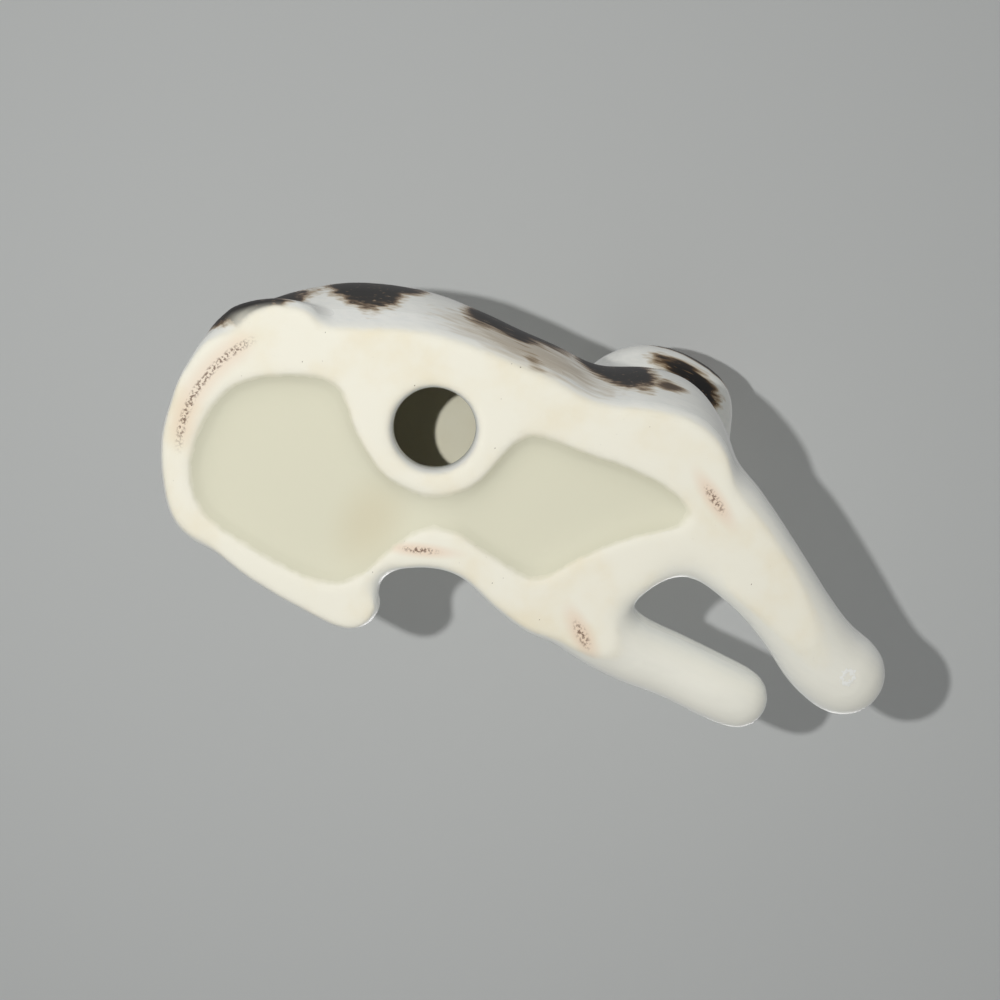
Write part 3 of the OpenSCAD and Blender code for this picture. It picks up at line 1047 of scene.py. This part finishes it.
LAMP_AIM = Vector((0, 5, 25)) * MM
KEY_FACING = VIEW_BACK * 0.97 - VIEW_RIGHT * 0.23 + VIEW_UP * 0.02
KEY_DISTANCE = 0.42
KEY_SIZE = 0.01
KEY_POWER = 1.02
TOP_DISTANCE = 1.2
TOP_SIZE = 1.5
SHINE_SIZE = 0.4
# Above on either side: where the lamps stand, the power of the soft lamp and of the small one for the shine
TOP_LAMPS = {
    "left": (Vector((0.8, -0.8, 1.3)), 7.6, 4.0),
    "right": (Vector((-0.9, 0.5, 1.0)), 3.9, 0.8),
}


def facing(right, up, place):
    """The matrix of a thing at a place whose own X and Y run along right and up."""
    x = right.normalized()
    z = x.cross(up).normalized()
    return Matrix.Translation(place) @ Matrix((x, z.cross(x), z)).transposed().to_4x4()


def add_camera():
    camera = bpy.data.objects.new("camera", bpy.data.cameras.new("camera"))
    bpy.context.scene.collection.objects.link(camera)
    camera.data.angle = VIEW_ANGLE
    camera.data.clip_start = 10 * MM
    camera.matrix_world = facing(VIEW_RIGHT, VIEW_UP, VIEW_AIM + VIEW_BACK * VIEW_DISTANCE)
    bpy.context.scene.camera = camera


def stage_finish(glaze):
    """Makes a stage material matt, and makes it vanish from behind."""
    glaze.surface.inputs["Specular IOR Level"].default_value = 0.0
    output = glaze.tree.nodes["Material Output"]
    clear = glaze.add("ShaderNodeBsdfTransparent")
    side = glaze.add("ShaderNodeNewGeometry").outputs["Backfacing"]
    mix = glaze.add("ShaderNodeMixShader")
    glaze.feed(mix.inputs[0], side)
    glaze.feed(mix.inputs[1], glaze.surface.outputs[0])
    glaze.feed(mix.inputs[2], clear.outputs[0])
    glaze.feed(output.inputs["Surface"], mix.outputs[0])


def stage_sheet(name, size, matrix, material):
    """A flat sheet that the camera sees and that catches shadows, but that shades nothing itself."""
    shape = bmesh.new()
    bmesh.ops.create_grid(shape, x_segments=1, y_segments=1, size=size / 2)
    sheet = placed(name, shape)
    shape.free()
    sheet.matrix_world = matrix
    sheet.data.materials.append(material)
    for rays in ("visible_diffuse", "visible_glossy", "visible_transmission", "visible_shadow"):
        setattr(sheet, rays, False)


def add_floor():
    """A pale floor that fades into the backdrop."""
    floor = Glaze("pale_floor")
    far = floor.step(floor.vector("LENGTH", floor.place), *FLOOR_FADE)
    floor.feed(floor.surface.inputs["Base Color"], floor.mix(far, PALE, BLACK))
    floor.surface.inputs["Emission Color"].default_value = (*BACKDROP, 1)
    floor.feed(floor.surface.inputs["Emission Strength"], far)
    stage_finish(floor)
    stage_sheet("floor", FLOOR_SIZE, Matrix.Translation((0, 0, FLOOR_LIFT)), floor.material)


def add_sheet():
    """A pale sheet behind the cat, for the view from below."""
    sheet = Glaze("pale_sheet")
    sheet.surface.inputs["Base Color"].default_value = (*PALE_SHEET, 1)
    stage_finish(sheet)
    up = VIEW_UP - SHEET_FACING * VIEW_UP.dot(SHEET_FACING)
    place = VIEW_AIM - SHEET_FACING * (SHEET_DEPTH + VIEW_AIM.dot(SHEET_FACING))
    stage_sheet("sheet", SHEET_SIZE, facing(up.cross(SHEET_FACING), up, place), sheet.material)


def add_world():
    """A plain backdrop that is as pale as it is written where the camera sees it, and lights less."""
    world = bpy.data.worlds.new("studio")
    bpy.context.scene.world = world
    world.use_nodes = True
    nodes = world.node_tree.nodes
    links = world.node_tree.links
    background = nodes["Background"]
    background.inputs["Color"].default_value = (*BACKDROP, 1)
    strength = nodes.new("ShaderNodeMapRange")
    strength.inputs["To Min"].default_value = FILL
    links.new(nodes.new("ShaderNodeLightPath").outputs["Is Camera Ray"], strength.inputs["Value"])
    links.new(strength.outputs[0], background.inputs["Strength"])


def add_lamp(name, towards, distance, size, power):
    """A round lamp that stands off from the cat in a direction."""
    lamp = bpy.data.objects.new(name, bpy.data.lights.new(name, "AREA"))
    bpy.context.scene.collection.objects.link(lamp)
    lamp.data.shape = "DISK"
    lamp.data.size = size
    lamp.data.energy = power
    lamp.location = LAMP_AIM + towards.normalized() * distance
    lamp.rotation_euler = towards.to_track_quat("Z", "Y").to_euler()
    return lamp


def add_lamps():
    """A small key below for the underside, and on either side above a soft lamp and one for the shine."""
    add_lamp("key", KEY_FACING, KEY_DISTANCE, KEY_SIZE, KEY_POWER).visible_glossy = False
    for side, (towards, light, shine) in TOP_LAMPS.items():
        add_lamp("top_" + side, towards, TOP_DISTANCE, TOP_SIZE, light).visible_glossy = False
        add_lamp("shine_" + side, towards, TOP_DISTANCE, SHINE_SIZE, shine).visible_diffuse = False


add_camera()
add_floor()
add_sheet()
add_world()
add_lamps()
bpy.context.scene.view_settings.view_transform = "Standard"

hollow = cavity_glaze()
for node, piece in made_pieces().items():
    piece.data.materials.append(porcelain(node))
    if node == "torso":
        piece.data.materials.append(hollow)
    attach(piece, "root")
    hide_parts(node)
